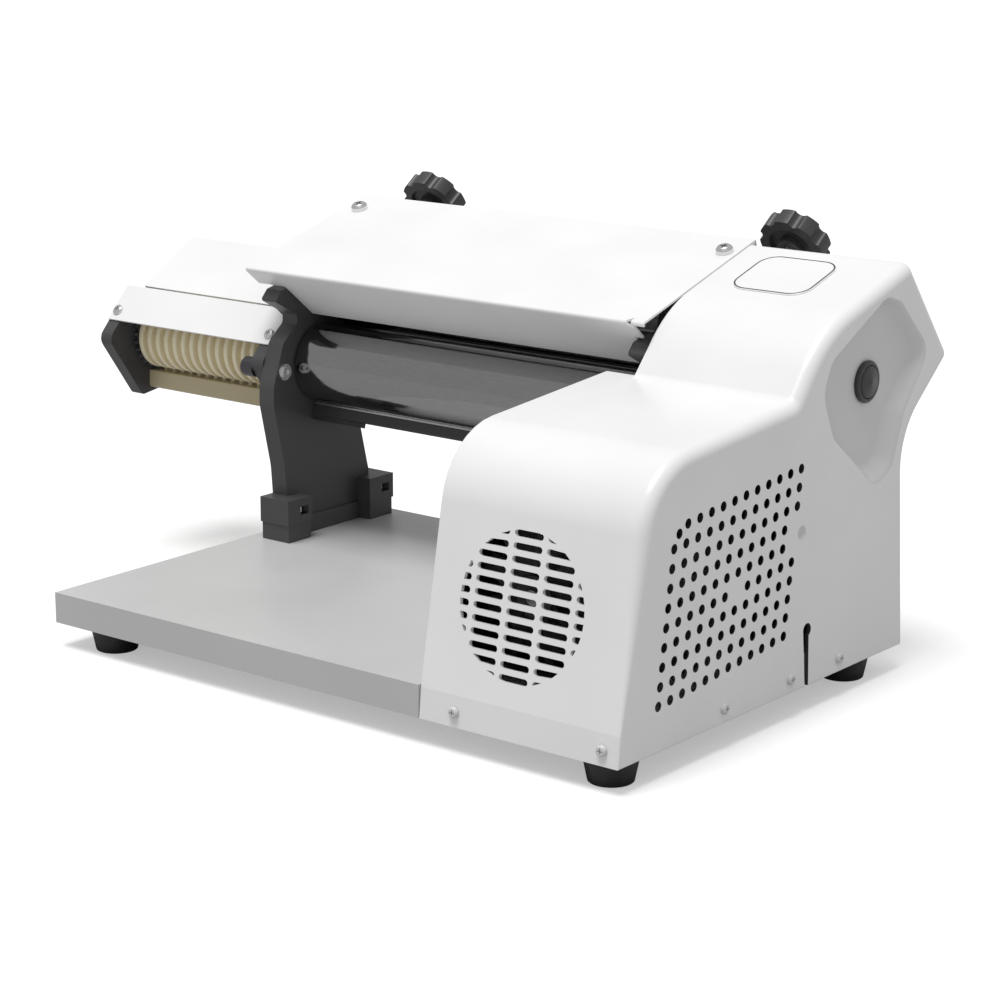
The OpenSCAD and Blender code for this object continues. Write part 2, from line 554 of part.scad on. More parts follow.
// The guard's right end is folded down beside the housing
guard_flange = [guard_point(72, -0.7), guard_point(guard_l - 1, -0.7), [330, 255], [288, 245]];
module top_guard() color("white") difference() {
    union() {
        plate_x(1, 360, guard_section(ear_l));
        plate_x(stand_x + stand_t + 0.6, stand_xs[1] - 0.6, guard_section(lip_l));
        plate_x(359, hood_x - 0.3, guard_section(4));
        plate_x(hood_x - 1.3, hood_x - 0.3, guard_flange);
    }
    for (p = guard_hole) translate([0, guard_bend[0], guard_bend[1]]) rotate([guard_a, 0, 0])
        translate([p[0], p[1], -5]) cylinder(h = 10, r = guard_screw_r + 0.1);
    translate([0, 0, 200]) linear_extrude(100) polygon([[351, 190], [352.5, 200], [359, 207],
        [359, 190]]);
}
module guard_screws() color("silver") for (p = guard_hole)
    translate([0, guard_bend[0], guard_bend[1]]) rotate([guard_a, 0, 0])
        translate([p[0], p[1], 0]) screw(6.3, 5, guard_screw_r, 16);

// ---- motor and gearbox ------------------------------------------------------
bell_y0 = 47;
motor_y0 = 55;
motor_y1 = 150;
case_y1 = 246;
motor_r = 50;
fin_n = 24;
module motor_body() color("#7d8288") difference() {
    union() {
        rod_y(motor_y0, motor_y1, motor_x, motor_z, motor_r - 5);
        for (i = [0:fin_n - 1]) translate([motor_x, motor_y0 + 4, motor_z])
            rotate([0, i * 360 / fin_n, 0]) block([motor_r - 6, 0, -1], [motor_r, 78, 1]);
    }
    rod_y(motor_y0 - 1, motor_y1 - 8, motor_x, motor_z, 34);
    rod_y(motor_y1 - 9, motor_y1 + 1, motor_x, motor_z, 9.02);
}
module motor_end_bell() color("#6d7278") difference() {
    union() {
        rod_y(bell_y0, motor_y0, motor_x, motor_z, motor_r - 5);
        rod_y(motor_y0, motor_y0 + 3, motor_x, motor_z, 33.9);
    }
    rod_y(bell_y0 - 1, motor_y0 + 5, motor_x, motor_z, 9.02);
}
module motor_bearings() color("silver")
    for (y = [[bell_y0, motor_y0 + 1], [motor_y1 - 8, motor_y1], [case_y1 - 8, case_y1]]) difference() {
        rod_y(y[0], y[1], motor_x, motor_z, 9);
        rod_y(y[0] - 1, y[1] + 1, motor_x, motor_z, 5 + run);
    }
module motor_shaft() color("silver") rod_y(24, case_y1 - 1, motor_x, motor_z, 5);
module armature() color("#b87333") difference() {
    rod_y(motor_y0 + 14, motor_y1 - 20, motor_x, motor_z, 33);
    rod_y(motor_y0, motor_y1, motor_x, motor_z, 5);
}
worm_half = 15;
module worm() color("#a8905a") translate([motor_x, shaft_y - worm_half, motor_z]) rotate([-90, 0, 0])
    rotate([0, 0, worm_phase]) difference() {
        linear_extrude(2 * worm_half, twist = 360 * 2 * worm_half / (PI * wheel_m), slices = 44)
            translate([2.2, 0]) circle(worm_r - 0.2, $fn = 14);
        translate([0, 0, -1]) cylinder(h = 2 * worm_half + 2, r = 5);
    }
// Puts a groove of the worm under the wheel's lowest tooth
worm_phase = 90 + 360 * worm_half / (PI * wheel_m);
module cooling_fan() color("#444444") translate([motor_x, 26, motor_z]) rotate([-90, 0, 0])
    difference() {
        union() {
            cylinder(h = 12, r = 14);
            for (i = [0:8]) rotate([0, 0, i * 40]) translate([0, 0, 6]) rotate([35, 0, 0])
                block([10, -7, -1], [44, 7, 1]);
        }
        translate([0, 0, -1]) cylinder(h = 14, r = 5);
    }
module motor_mount() color("#5c5c5c") difference() {
    block([motor_x - 46, 60, skirt_h], [motor_x + 46, 140, motor_z - 20]);
    rod_y(50, 150, motor_x, motor_z, motor_r + 0.02);
    for (s = [-1, 1]) block([motor_x + s * 34 - 8, 50, skirt_h + 4], [motor_x + s * 34 + 8, 150, 36]);
    block([motor_x - 22, 50, skirt_h + 4], [motor_x + 22, 150, 60]);
}
case_x = [396, 447];
case_z = [skirt_h, shaft_z + 36];
module gearbox_case() color("#80858a") difference() {
    block([case_x[0], motor_y1, case_z[0]], [case_x[1] - 6, case_y1, case_z[1]]);
    block([case_x[0] + 7, motor_y1 + 8, case_z[0] + 30], [case_x[1] + 1, case_y1 - 8, case_z[1] - 5]);
    rod_y(motor_y1 - 1, motor_y1 + 20, motor_x, motor_z, 7);
    rod_y(case_y1 - 9, case_y1 + 1, motor_x, motor_z, 9.02);
    rod_x(case_x[0] - 1, case_x[0] + 9, shaft_y, shaft_z, 7 + run);
}
module gearbox_lid() color("#777b80") difference() {
    block([case_x[1] - 6, motor_y1, case_z[0]], [case_x[1], case_y1, case_z[1]]);
    rod_x(case_x[1] - 9, case_x[1] + 9, shaft_y, shaft_z, 7 + run);
}
module output_shaft() color("silver") rod_x(gear_x - 4, case_x[1] - 0.5, shaft_y, shaft_z, 7);
module worm_wheel() color("#c9a227") gear_on_x(motor_x - 4, shaft_y, shaft_z, wheel_m,
    wheel_teeth, 8, 7, 270, 0.75, 0.8);
pinion_a = atan2(roller_z - shaft_z, roller_y - shaft_y);
// The pinion meets the roller gear tooth to gap on the line between their axes
pinion_phase = pinion_a + 180 / pinion_teeth
    + roller_teeth / pinion_teeth * (pinion_a + 180 - nip_a);
module drive_pinion() color("#8c8c8c") gear_on_x(gear_x, shaft_y, shaft_z, gear_m,
    pinion_teeth, gear_w, 7, pinion_phase, 0.12);
module capacitor() color("#d9d9d9") rod_y(264, 322, 455, skirt_h + 17.5, 17.5);
module terminal_block() color("#2f2f2f") difference() {
    block([468, 222, skirt_h], [488, 262, skirt_h + 18]);
    for (i = [0:3]) translate([478, 228 + i * 9.5, skirt_h + 9]) cylinder(h = 20, r = 2.5);
}

// ---- cutter head ------------------------------------------------------------
plate_outline = [[204, 157.5, 9], [216, 170.4, 0], [239, 195, 3], [244, 194, 2], [257, 188.5, 5],
    [268, 188.4, 5], [285, 199.5, 4], [318, 192, 14], [326, 160, 14], [263, 110.6, 8], [239, 107, 4]];
cutter_screw_at = [221, 178.2];
cutter_slope = 46.9;           // slope of the front feed plate
module on_slope(x) translate([x, cutter_screw_at[0], cutter_screw_at[1]])
    rotate([cutter_slope, 0, 0]) children();
module cutter_plate(x, left) difference() {
    plate_x(x, x + cutter_t, rounded(plate_outline, 5));
    rod_x(left ? x + 1.5 : x - 1, x + cutter_t + 1, roller_y, roller_z, (left ? 6 : 10) + run);
    rod_x(left ? x + 1.5 : x - 1, x + cutter_t + 1, cutter_rear[0], cutter_rear[1], 6 + run);
    if (!left) for (p = clamp_at) rod_x(x - 1, x + cutter_t + 1, p[0], p[1], 4.05);
    on_slope(x + cutter_t / 2) translate([0, 0, -10]) cylinder(h = 12, r = 2.05, $fn = 24);
}
module cutter_left_plate() color("#474747") cutter_plate(cutter_x, true);
module cutter_right_plate() color("#474747") cutter_plate(cutter_x1, false);
ring_x0 = cutter_x0 + 6;
ring_w = 4.4;
module ringed(shift) rotate([0, 90, 0]) {
    cylinder(h = ring_pitch * ring_n, r = core_r);
    for (i = [0:ring_n - 1]) translate([0, 0, shift + i * ring_pitch])
        rotate_extrude() polygon(rounded([[core_r - 1, 0, 0], [ring_r, 0, 1.2],
            [ring_r, ring_w, 1.2], [core_r - 1, ring_w, 0]], 3));
}
module cutter_front_roller() color("#ddd2a4") difference() {
    union() {
        translate([ring_x0, roller_y, roller_z]) ringed(0.2);
        rod_x(cutter_x + 2, ring_x0 + 1, roller_y, roller_z, 6);
        rod_x(ring_x0 + ring_pitch * ring_n - 1, stand_x - 0.3, roller_y, roller_z, 10);
    }
    rod_x(stand_x - 15, stand_x + 1, roller_y, roller_z, 6.3, $fn = 6);
}
module cutter_rear_roller() color("#ddd2a4") {
    translate([ring_x0, cutter_rear[0], cutter_rear[1]]) ringed(0.2 + ring_pitch / 2);
    rod_x(cutter_x + 2, ring_x0 + 1, cutter_rear[0], cutter_rear[1], 6);
    rod_x(ring_x0 + ring_pitch * ring_n - 1, stand_x - 1, cutter_rear[0], cutter_rear[1], 6);
}
module cutter_front_gear() color("#8c8c8c") gear_on_x(cutter_x0 + 1, roller_y, roller_z,
    cutter_gear_m, 24, cutter_gear_w, 6, nip_a);
module cutter_rear_gear() color("#8c8c8c") gear_on_x(cutter_x0 + 1, cutter_rear[0], cutter_rear[1],
    cutter_gear_m, 24, cutter_gear_w, 6, nip_a + 180 + 7.5);
// A comb strips the dough from the grooves: its fingers reach between the rings
module comb(y, z, a, at, deep) translate([0, y, z]) rotate([a, 0, 0]) {
    plate_x(cutter_x0, cutter_x1, rounded([[-8.8, -deep, 2.5], [-8.2, -28, 1], [7.6, -28, 1],
        [8.6, -deep, 2]], 4));
    for (i = [0:ring_n - 2]) block([ring_x0 + at + i * ring_pitch, -3, -28.5],
        [ring_x0 + at + i * ring_pitch + 3, 3, -core_r - 0.6]);
}
module cutter_combs() color("#cdbf8e") {
    comb(roller_y, roller_z, 0, 5.6, 42.5);
    comb(cutter_rear[0], cutter_rear[1], 42, 0.9 + ring_pitch, 35);
}
screw_xs = [cutter_x + cutter_t / 2, cutter_x1 + cutter_t / 2];
module cutter_feed_plates() color("white") {
    difference() {
        plate_x(cutter_x, stand_x - 0.4, [[214.9, 171.6], [237.6, 195.9], [238.7, 194.9], [216, 170.6]]);
        for (x = screw_xs) on_slope(x) translate([0, 0, -10]) cylinder(h = 12, r = 2.05, $fn = 24);
        translate([0, 0, 150]) linear_extrude(80) polygon([[stand_x + 1, 232], [stand_x - 23, 240],
            [stand_x + 1, 240]]);
    }
    plate_x(cutter_x0, cutter_x1, [[245.5, 194], [300.5, 227.5], [299.7, 228.8], [244.7, 195.3]]);
    for (x = [cutter_x0, cutter_x1 - 0.8]) difference() {
        plate_x(x, x + 0.8, [[246, 194.5], [300, 227.4], [300, 188], [262, 183], [252, 187]]);
        rod_x(x - 1, x + 2, cutter_rear[0], cutter_rear[1], 8);
    }
}
module cutter_screws() color("silver") for (x = screw_xs) on_slope(x) screw(4.4, 2.4, 2, 8);
module cutter_clamp_nuts() color("#55565c") for (p = clamp_at) difference() {
    rod_x(cutter_x1 - 12.2, cutter_x1, p[0], p[1], 7.5);
    rod_x(cutter_x1 - 13, cutter_x1 + 1, p[0], p[1], 4);
}

place() base_tray();
place() bottom_plate();
place() feet();
place() foot_screws();
place() cover();
place() cover_screws();
place() inner_panel();
place() nameplate();
place() switch_bezel();
place() switch_body();
place() switch_button();
place() left_stand();
place() right_stand();
place() left_foot_rail();
place() right_foot_rail();
place() stand_bolts();
place() tie_rods();
place() tie_rod_screws();
place() front_bushes();
place() front_roller();
place() front_roller_gear();
place() left_carriage();
place() right_carriage();
place() rear_bushes();
place() rear_roller();
place() rear_roller_gear();
place() left_knob();
place() right_knob();
place() left_spindle();
place() right_spindle();
place() front_scraper();
place() scraper_bar();
place() rear_scraper();
place() top_guard();
place() guard_screws();
place() motor_body();
place() motor_end_bell();
place() motor_bearings();
place() motor_shaft();
place() armature();
place() worm();
place() cooling_fan();
place() motor_mount();
place() gearbox_case();
place() gearbox_lid();
place() worm_wheel();
place() output_shaft();
place() drive_pinion();
place() capacitor();
place() terminal_block();
place() cutter_left_plate();
place() cutter_right_plate();
place() cutter_front_roller();
place() cutter_rear_roller();
place() cutter_front_gear();
place() cutter_rear_gear();
place() cutter_combs();
place() cutter_feed_plates();
place() cutter_screws();
place() cutter_clamp_nuts();
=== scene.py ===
"""Looks of the electric pasta roller machine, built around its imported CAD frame."""
import json
import math

import bmesh
import bpy
from mathutils import Matrix, Vector


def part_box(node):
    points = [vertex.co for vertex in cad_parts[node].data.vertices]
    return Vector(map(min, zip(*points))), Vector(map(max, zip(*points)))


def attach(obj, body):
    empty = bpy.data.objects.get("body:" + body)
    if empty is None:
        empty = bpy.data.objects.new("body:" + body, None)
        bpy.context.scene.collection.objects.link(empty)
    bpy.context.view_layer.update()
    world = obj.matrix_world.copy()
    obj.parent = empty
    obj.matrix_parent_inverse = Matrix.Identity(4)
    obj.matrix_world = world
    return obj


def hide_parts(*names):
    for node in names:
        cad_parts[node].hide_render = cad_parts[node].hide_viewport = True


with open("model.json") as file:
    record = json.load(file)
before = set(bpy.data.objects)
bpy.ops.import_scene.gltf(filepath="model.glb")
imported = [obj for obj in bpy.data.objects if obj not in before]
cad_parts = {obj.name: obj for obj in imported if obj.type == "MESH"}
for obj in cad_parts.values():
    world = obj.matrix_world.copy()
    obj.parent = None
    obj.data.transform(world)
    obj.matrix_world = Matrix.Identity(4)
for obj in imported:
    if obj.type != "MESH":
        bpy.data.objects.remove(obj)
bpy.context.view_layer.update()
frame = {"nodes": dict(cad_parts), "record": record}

MM = 0.001
# Local places are in millimetres from the tray's front left lower corner, as in part.scad
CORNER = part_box("base_tray")[0].copy()
TO_ROW = Matrix.Translation(CORNER) @ Matrix.Scale(MM, 4)


def local_box(node):
    """A CAD node's lowest and highest corners, in millimetres from the tray's corner."""
    low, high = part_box(node)
    return (low - CORNER) / MM, (high - CORNER) / MM


# ---------------------------------------------------------------- sizes from the frame
TRAY_HIGH = local_box("base_tray")[1]
COVER_LOW, COVER_HIGH = local_box("cover")
BASE_D = TRAY_HIGH.y
SKIRT_H = TRAY_HIGH.z
BOX_X, BASE_L = COVER_LOW.x, COVER_HIGH.x
HOOD_X = local_box("inner_panel")[0].x - 0.2
GRILLE_X = (local_box("cooling_fan")[0].x + local_box("cooling_fan")[1].x) / 2

# ---------------------------------------------------------------- sizes of the housing
WALL = 3.0
BOX_BACK = 197.5
CREASE_Y, CREASE_Z = 1.6, 21.0
BROW_Y, BROW_Z = 30.5, 183
LEAN = math.atan2(BROW_Y - CREASE_Y, BROW_Z - CREASE_Z)
# Outlines are corners (y, z, radius of the rounding), clockwise as seen along +X
HOUSING = [(0, 0, 0), (CREASE_Y, CREASE_Z, 3), (BROW_Y, BROW_Z, 56), (191.5, 196, 9), (224.8, 238.4, 95),
           (331, 270.2, 8), (388.5, 198, 7), (330, 150.5, 50), (BASE_D, 0, 0)]
FRONT_BOX = [(0, 0, 0), (CREASE_Y, CREASE_Z, 3), (BROW_Y, BROW_Z, 56), (BOX_BACK, 196.1, 0),
             (BOX_BACK, 0, 0)]
RECESS_RIM = [(222, 196, 20), (232, 217, 18), (300, 251, 16), (318, 245, 14), (358, 206, 14),
              (327, 168, 22), (313, 131, 14), (292, 120, 16), (236, 164, 22)]
RECESS_FLOOR = [(223.5, 196, 18), (233.2, 215.4, 16), (298, 246, 13), (309, 240, 13), (342, 206, 12),
                (310, 169, 22), (297, 141, 12), (286, 135, 12), (238, 166, 20)]
RECESS_X = 492.0
GRILLE_Z, GRILLE_R = 84.3, 48.8
SLOT_W, SLOT_H, SLOT_STEP_X, SLOT_STEP_Z = 22.9, 4.6, 26.4, 8.36
SLOT_COLUMNS, SLOT_ROWS = range(-2, 3), range(-6, 6)
# The vents are a leaning grid of 12 by 10 holes, with the first one pulled in and three left out
VENT_ORIGIN, VENT_ALONG, VENT_DOWN, VENT_R = (70.1, 140.8), (12.78, 1.06), (-1.83, -12.18), 3.3
VENTS_ALONG, VENTS_DOWN, FIRST_VENT = 12, 10, (60.8, 136.2)
MISSING_VENTS = ((6, 5), (11, 3), (11, 4))
THIN_WALL, THIN_LOW, THIN_HIGH = 1.2, (35, 20), (196, 158)
CORD_AT, CORD_HOLE_R, CORD_SLOT = (210.2, 39.3), 4.75, (-0.6, 3.4)
DIMPLE_AT, DIMPLE_R, DIMPLE_FLOOR_R, DIMPLE_DEPTH = (200.7, 107.7), 5.2, 1.8, 2.0
SWITCH_AT, SWITCH_HOLE_R = (287.5, 193.5), 12.55
SIDE_SCREW_Y, SCREW_Z, SCREW_HOLE_R = (113.7, 191, 251.2), 10, 2.05
# How far the cutting tools start inside and end outside the side wall
CUT_IN, CUT_OUT = 8, 3
# Where the leaning front would reach the height of the tray's lower edge
FRONT_FOOT_Y = -2.1
PLATE_X, PLATE_UP_SLOPE = 425, 67
PLATE_OUTLINE = [(-31, -27, 14), (-31, 27, 14), (31, 27, 14), (31, -27, 14)]


# ---------------------------------------------------------------- outlines
def turn_of(a, b, c):
    """The signed angle by which the path a, b, c turns at b."""
    u, v = (b - a).normalized(), (c - b).normalized()
    return math.atan2(u.x * v.y - u.y * v.x, u.dot(v))


def fillet(a, b, c, radius, steps):
    """The arc that rounds corner b of the path a, b, c."""
    turn = turn_of(a, b, c)
    u = (b - a).normalized()
    side = math.copysign(1, turn)
    start = b - radius * math.tan(abs(turn) / 2) * u
    centre = start + side * radius * Vector((-u.y, u.x))
    first = math.atan2(start.y - centre.y, start.x - centre.x)
    angles = [first + turn * i / steps for i in range(steps + 1)]
    return [centre + radius * Vector((math.cos(a), math.sin(a))) for a in angles]


def neighbours(corners, i):
    return [Vector(corners[j % len(corners)][:2]) for j in (i - 1, i, i + 1)]


def rounded(corners, steps=8):
    """An outline of points from corners (y, z, radius)."""
    points = []
    for i, corner in enumerate(corners):
        a, b, c = neighbours(corners, i)
        points += fillet(a, b, c, corner[2], steps) if corner[2] > 0 else [b]
    return points


def inset(corners, depth):
    """The same corners moved inwards; the outline runs clockwise when seen along +X."""
    moved = []
    for i, corner in enumerate(corners):
        a, b, c = neighbours(corners, i)
        u, v = (b - a).normalized(), (c - b).normalized()
        p = b + depth * Vector((u.y, -u.x))
        q = b + depth * Vector((v.y, -v.x))
        cross = u.x * v.y - u.y * v.x
        at = p + u * ((q - p).x * v.y - (q - p).y * v.x) / cross
        side = -1 if turn_of(a, b, c) < 0 else 1
        moved.append((at.x, at.y, max(corner[2] + side * depth, 0.5) if corner[2] > 0 else 0))
    return moved


# ---------------------------------------------------------------- mesh building
def loft(rings, bm=None):
    """A closed solid through rings of equal length, each a list of (x, y, z)."""
    bm = bm or bmesh.new()
    rows = [[bm.verts.new(p) for p in ring] for ring in rings]
    count = len(rows[0])
    for low, high in zip(rows, rows[1:]):
        for i in range(count):
            j = (i + 1) % count
            bm.faces.new((low[i], low[j], high[j], high[i]))
    bm.faces.new(rows[0][::-1])
    bm.faces.new(rows[-1])
    bmesh.ops.recalc_face_normals(bm, faces=bm.faces)
    return bm


def rim(corners, x, inward, radius, weight, steps=6):
    """Rings that round a prism's rim, from its end face at x to where its side starts."""
    outer, inner = rounded(corners), rounded(inset(corners, radius))
    rings = []
    for j in range(steps + 1):
        a = math.pi / 2 * j / steps
        ring = []
        for far, near in zip(outer, inner):
            w = weight(far)
            at = far.lerp(near, w * (1 - math.sin(a)))
            ring.append((x + inward * radius * w * (1 - math.cos(a)), at.x, at.y))
        rings.append(ring)
    return rings


def soft_prism(corners, x0, x1, radius0, radius1, weight0=lambda p: 1, weight1=lambda p: 1):
    """A prism along X with rounded rims; the weights thin the rims out along the outline."""
    return loft(rim(corners, x0, 1, radius0, weight0) + rim(corners, x1, -1, radius1, weight1)[::-1])


def plain_prism(points, x0, x1, bm=None):
    return loft([[(x, p.x, p.y) for p in points] for x in (x0, x1)], bm)


def circle(y, z, radius, steps=24):
    return [Vector((y + radius * math.cos(-a), z + radius * math.sin(-a)))
            for a in (2 * math.pi * i / steps for i in range(steps))]


def new_object(name, bm):
    mesh = bpy.data.meshes.new(name)
    bm.to_mesh(mesh)
    bm.free()
    made = bpy.data.objects.new(name, mesh)
    bpy.context.collection.objects.link(made)
    return made


def apply_modifiers(obj):
    """Bakes the object's modifiers into its mesh."""
    shaped = obj.evaluated_get(bpy.context.evaluated_depsgraph_get())
    mesh = bpy.data.meshes.new_from_object(shaped)
    obj.modifiers.clear()
    obj.data = mesh


def combine(target, bm, operation, material):
    """One exact boolean of a tool mesh on an object; the tool's faces keep the material."""
    tool = new_object("tool", bm)
    tool.data.materials.append(MATERIALS[material])
    mod = target.modifiers.new("cut", "BOOLEAN")
    mod.object, mod.operation, mod.solver = tool, operation, "EXACT"
    mod.material_mode = "TRANSFER"
    apply_modifiers(target)
    bpy.data.objects.remove(tool)


def shade_soft(obj, angle=32):
    """Smooth shading that keeps edges sharper than the angle and leaves flat faces flat."""
    bm = bmesh.new()
    bm.from_mesh(obj.data)
    for face in bm.faces:
        face.smooth = True
    for edge in bm.edges:
        edge.smooth = edge.calc_face_angle(0) < math.radians(angle)
    bm.to_mesh(obj.data)
    bm.free()
    mod = obj.modifiers.new("even_normals", "WEIGHTED_NORMAL")
    mod.keep_sharp = True


def finish_piece(obj, material, slot, body, *nodes, angle=32):
    """Shades a piece, gives it its material, and lets it ride with a body for some CAD nodes."""
    shade_soft(obj, angle)
    if not any(obj.data.materials):
        obj.data.materials.clear()
        obj.data.materials.append(MATERIALS[material])
    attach(obj, body)
    if nodes:
        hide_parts(*nodes)
    return obj


BODY_OF = {node: body for body, nodes in frame["record"]["behaviour"]["bodies"].items() for node in nodes}
SLOT_OF = {row["node"]: row["material_slot"] for row in frame["record"]["subparts"]}


def softened(node, width):
    """Stands for a CAD node with the same shape and rounded edges; width in mm."""
    bm = bmesh.new()
    bm.from_mesh(frame["nodes"][node].data)
    bmesh.ops.remove_doubles(bm, verts=bm.verts, dist=0.01 * MM)
    bmesh.ops.dissolve_limit(bm, angle_limit=math.radians(0.5), verts=bm.verts, edges=bm.edges,
                             use_dissolve_boundaries=False)
    edges = [e for e in bm.edges if e.is_manifold and e.calc_face_angle(0) > math.radians(40)]
    bmesh.ops.bevel(bm, geom=edges, offset=width * MM, segments=2, profile=0.5,
                    affect="EDGES", clamp_overlap=True)
    obj = new_object(node + "_soft", bm)
    slot = SLOT_OF[node]
    return finish_piece(obj, PAINT_OF.get(node, slot), slot, BODY_OF[node], node, angle=35)


# ---------------------------------------------------------------- materials
def principled(name, color, roughness=0.4, metallic=0.0, coat=0.0, coat_rough=0.1, spec=0.5):
    """A new node material with one Principled shader; returns (material, nodes, links, shader)."""
    mat = bpy.data.materials.new(name)
    mat.use_nodes = True
    nodes, links = mat.node_tree.nodes, mat.node_tree.links
    shader = nodes["Principled BSDF"]
    shader.inputs["Base Color"].default_value = (*color, 1)
    shader.inputs["Roughness"].default_value = roughness
    shader.inputs["Metallic"].default_value = metallic
    shader.inputs["Coat Weight"].default_value = coat
    shader.inputs["Coat Roughness"].default_value = coat_rough
    shader.inputs["Specular IOR Level"].default_value = spec
    return mat, nodes, links, shader


def noise(nodes, links, scale, detail=3.0, stretch=(1, 1, 1)):
    """A noise texture in object coordinates, stretched along the axes."""
    coords = nodes.new("ShaderNodeTexCoord")
    mapping = nodes.new("ShaderNodeMapping")
    mapping.inputs["Scale"].default_value = stretch
    texture = nodes.new("ShaderNodeTexNoise")
    texture.inputs["Scale"].default_value = scale
    texture.inputs["Detail"].default_value = detail
    links.new(coords.outputs["Object"], mapping.inputs["Vector"])
    links.new(mapping.outputs["Vector"], texture.inputs["Vector"])
    return texture


def vary(nodes, links, source, socket, low, high):
    """Drives a scalar input between two values by a texture."""
    span = nodes.new("ShaderNodeMapRange")
    span.inputs["From Min"].default_value = 0.3
    span.inputs["From Max"].default_value = 0.7
    span.inputs["To Min"].default_value = low
    span.inputs["To Max"].default_value = high
    links.new(source.outputs["Fac"], span.inputs["Value"])
    links.new(span.outputs["Result"], socket)


def tint(nodes, links, source, shader, dark, light):
    """Mixes the base colour between two near colours by a texture."""
    ramp = nodes.new("ShaderNodeValToRGB")
    ramp.color_ramp.elements[0].position = 0.3
    ramp.color_ramp.elements[1].position = 0.7
    ramp.color_ramp.elements[0].color = (*dark, 1)
    ramp.color_ramp.elements[1].color = (*light, 1)
    links.new(source.outputs["Fac"], ramp.inputs["Fac"])
    links.new(ramp.outputs["Color"], shader.inputs["Base Color"])


def bump(nodes, links, source, shader, strength, distance):
    """Raises the surface by a texture; distance in metres."""
    node = nodes.new("ShaderNodeBump")
    node.inputs["Strength"].default_value = strength
    node.inputs["Distance"].default_value = distance
    links.new(source.outputs["Fac"], node.inputs["Height"])
    links.new(node.outputs["Normal"], shader.inputs["Normal"])


def shade(color, factor):
    return tuple(min(1.0, c * factor) for c in color)


def coated(name, color, roughness, grain, strength, coat=0.0, coat_rough=0.2, spec=0.5):
    """Paint, moulded plastic or a casting: fine bump, slight colour and roughness variation."""
    spread = 0.02
    mat, nodes, links, shader = principled(name, color, roughness, 0, coat, coat_rough, spec)
    fine = noise(nodes, links, grain)
    broad = noise(nodes, links, 14, 2)
    bump(nodes, links, fine, shader, strength, 0.0002)
    tint(nodes, links, broad, shader, shade(color, 1 - spread), shade(color, 1 + spread))
    vary(nodes, links, broad, shader.inputs["Roughness"], roughness * 0.92, roughness * 1.08)
    return mat


def metal(name, color, roughness, stretch=(1, 1, 1), strength=0.05, scale=900):
    """Bare metal with a directional grain."""
    mat, nodes, links, shader = principled(name, color, roughness, 1.0)
    grain = noise(nodes, links, scale, 3, stretch)
    bump(nodes, links, grain, shader, strength, 0.0001)
    tint(nodes, links, grain, shader, shade(color, 0.94), shade(color, 1.04))
    vary(nodes, links, grain, shader.inputs["Roughness"], roughness * 0.85, roughness * 1.2)
    return mat


MATERIALS = {
    "housing_white": coated("housing_white", (0.80, 0.80, 0.80), 0.32, 1500, 0.03, 0.2, 0.15),
    # A darker copy of the housing white, used only in the button hollow and the dimple: painted shade in
    # a recess
    "recess_painted_shade": coated("recess_painted_shade", (0.66, 0.66, 0.66), 0.36, 1500, 0.03, 0.1, 0.15),
    # Near black for the inside of the white housing: painted shade, the inside is the same white plastic
    "housing_painted_shade": coated("housing_painted_shade", (0.035, 0.035, 0.035), 0.6, 800, 0.1),
    "painted_white": coated("painted_white", (0.80, 0.80, 0.80), 0.42, 1400, 0.05, 0.1, 0.25),
    "tray_paint": coated("tray_paint", (0.51, 0.51, 0.51), 0.42, 1400, 0.05, 0.1, 0.25),
    "screw_paint": coated("screw_paint", (0.60, 0.60, 0.60), 0.3, 900, 0.05, 0.3),
    "zinc_plate": metal("zinc_plate", (0.50, 0.50, 0.50), 0.35, (0.1, 1, 1)),
    "rubber_black": coated("rubber_black", (0.012, 0.012, 0.012), 0.5, 700, 0.12),
    "bright_screw": metal("bright_screw", (0.72, 0.72, 0.72), 0.25),
    "stand_grey": coated("stand_grey", (0.063, 0.063, 0.065), 0.42, 1100, 0.14, spec=0.35),
    "dark_screw": metal("dark_screw", (0.10, 0.10, 0.11), 0.35),
    "polished_roller": metal("polished_roller", (0.31, 0.31, 0.31), 0.10, (0.15, 1, 1), 0.012),
    "gear_steel": metal("gear_steel", (0.40, 0.40, 0.41), 0.4),
    "bush_bronze": metal("bush_bronze", (0.50, 0.36, 0.16), 0.35),
    "carriage_steel": metal("carriage_steel", (0.42, 0.42, 0.43), 0.4),
    "knob_black": coated("knob_black", (0.040, 0.040, 0.042), 0.42, 900, 0.15),
    "switch_black": coated("switch_black", (0.014, 0.014, 0.015), 0.22, 900, 0.04, 0.3),
    "plate_silver": coated("plate_silver", (0.80, 0.80, 0.80), 0.3, 900, 0.03, 0.2),
    "plate_line": coated("plate_line", (0.06, 0.06, 0.06), 0.35, 900, 0.05),
    "motor_grey": coated("motor_grey", (0.10, 0.10, 0.11), 0.45, 500, 0.25),
    "winding_copper": metal("winding_copper", (0.55, 0.24, 0.10), 0.35, (1, 0.1, 1), 0.4, 300),
    "gear_bronze": metal("gear_bronze", (0.55, 0.38, 0.12), 0.35),
    "inner_black": coated("inner_black", (0.03, 0.03, 0.03), 0.5, 800, 0.1),
    # This ivory and the next are shaded and lit copies of one ivory plastic: darker as painted shade on
    # the combs, lighter as painted light on the cutter rings that face the front
    "cutter_ivory": coated("cutter_ivory", (0.50, 0.43, 0.27), 0.36, 900, 0.05, 0.1),
    "ring_ivory_painted_light": coated("ring_ivory_painted_light", (0.86, 0.78, 0.56), 0.36, 900, 0.05, 0.1),
    "cutter_end_grey": coated("cutter_end_grey", (0.063, 0.063, 0.066), 0.42, 1100, 0.14, spec=0.35),
}
